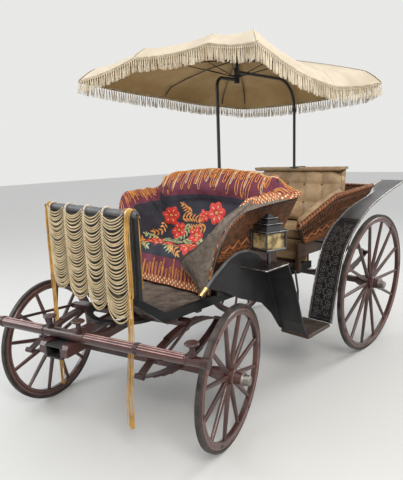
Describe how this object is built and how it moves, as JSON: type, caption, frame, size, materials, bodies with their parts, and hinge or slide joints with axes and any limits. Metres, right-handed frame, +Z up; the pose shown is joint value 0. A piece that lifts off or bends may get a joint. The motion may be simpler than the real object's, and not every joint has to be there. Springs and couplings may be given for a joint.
{
  "type": "horse drawn carriage",
  "caption": "Light four-wheeled carriage with two rows of wicker seats under a fringed canopy, a steered front carriage and leather wings over side steps.",
  "frame": {"origin": "on the floor below the middle of the whole object's box", "axes": "+X towards the carriage's left side, -Y forwards to the horses, +Z up"},
  "size_m": [1.8082, 3.4, 2.4099],
  "materials": {
    "gear_wood": "gloss maroon paint over wood, worn",
    "wheel_wood": "gloss maroon paint over wood, pale lines",
    "tyre_iron": "worn bare iron hoop",
    "hub_metal": "dull silver plate",
    "black_iron": "satin black paint",
    "maroon_iron": "gloss maroon paint",
    "black_body": "gloss black paint",
    "brown_body": "brown varnish",
    "floor_mat": "brown boards with a grey mat",
    "black_leather": "satin patent leather",
    "grey_leather": "padded grey leather",
    "tan_leather": "buttoned tan leather",
    "wicker": "dark brown canes with an orange band",
    "brass": "worn polish",
    "lamp_black": "gloss black with silver edges",
    "lamp_glass": "yellowed glass",
    "canopy_cloth": "cream canvas",
    "fringe_thread": "cream thread",
    "shawl_cloth": "slate cloth with a floral pattern and plum border",
    "net_cord": "cream and gold cord"
  },
  "bodies": {
    "carriage": {"rear_axle": "maroon_iron", "rear_springs": "maroon_iron", "wheel_plate_upper": "black_iron", "upper_bed": "gear_wood", "side_sills": "brown_body", "floor": "floor_mat", "dash": "black_leather", "dash_rail": "grey_leather", "whip_socket": "black_iron", "fly_net": "net_cord", "front_basket": "wicker", "rear_basket": "wicker", "front_seat_box": "brown_body", "rear_seat_box": "brown_body", "front_cushion": "tan_leather", "front_squab": "tan_leather", "shawl": "shawl_cloth", "rear_cushion": "tan_leather", "rear_squab": "tan_leather", "rear_back_panel": "black_body", "rear_bolsters": "tan_leather", "rear_fall": "tan_leather", "front_wings": "black_leather", "wing_rolls": "grey_leather", "wing_ferrules": "brass", "steps": "brown_body", "rear_wings": "black_leather", "body_irons": "black_iron", "lamps": "lamp_black", "lamp_glass": "lamp_glass", "canopy_posts": "black_iron", "canopy_frame": "black_iron", "canopy_stretchers": "black_iron", "canopy_cover": "canopy_cloth", "canopy_fringe": "fringe_thread"},
    "front_carriage": {"front_axle": "maroon_iron", "front_springs": "maroon_iron", "lower_bed": "gear_wood", "futchells": "gear_wood", "wheel_plate_lower": "black_iron", "splinter_bar": "gear_wood", "splinter_irons": "maroon_iron", "pole_socket": "black_iron"},
    "front_left_wheel": {"front_left_wheel": "wheel_wood", "front_left_tyre": "tyre_iron", "front_left_hub": "hub_metal"},
    "front_right_wheel": {"front_right_wheel": "wheel_wood", "front_right_tyre": "tyre_iron", "front_right_hub": "hub_metal"},
    "rear_left_wheel": {"rear_left_wheel": "wheel_wood", "rear_left_tyre": "tyre_iron", "rear_left_hub": "hub_metal"},
    "rear_right_wheel": {"rear_right_wheel": "wheel_wood", "rear_right_tyre": "tyre_iron", "rear_right_hub": "hub_metal"}
  },
  "joints": [
    {"name": "steering", "type": "hinge", "parent": "carriage", "child": "front_carriage", "pos_m": [-0.08, -0.9126, 0.725], "axis": [0, 0, 1], "range_deg": [-40.8, 9.2]},
    {"name": "front_left_wheel_spin", "type": "hinge", "parent": "front_carriage", "child": "front_left_wheel", "pos_m": [0.60069, -0.71998, 0.41968], "axis": [0.9615, 0.2721, -0.0391], "continuous": true},
    {"name": "rear_left_wheel_spin", "type": "hinge", "parent": "carriage", "child": "rear_left_wheel", "pos_m": [0.6334, 1.0609, 0.57256], "axis": [0.9992, 0, -0.0391], "continuous": true},
    {"name": "front_right_wheel_spin", "type": "hinge", "parent": "front_carriage", "child": "front_right_wheel", "pos_m": [-0.76069, -1.10522, 0.41968], "axis": [-0.9615, -0.2721, -0.0391], "continuous": true},
    {"name": "rear_right_wheel_spin", "type": "hinge", "parent": "carriage", "child": "rear_right_wheel", "pos_m": [-0.7934, 1.0609, 0.57256], "axis": [-0.9992, 0, -0.0391], "continuous": true}
  ]
}
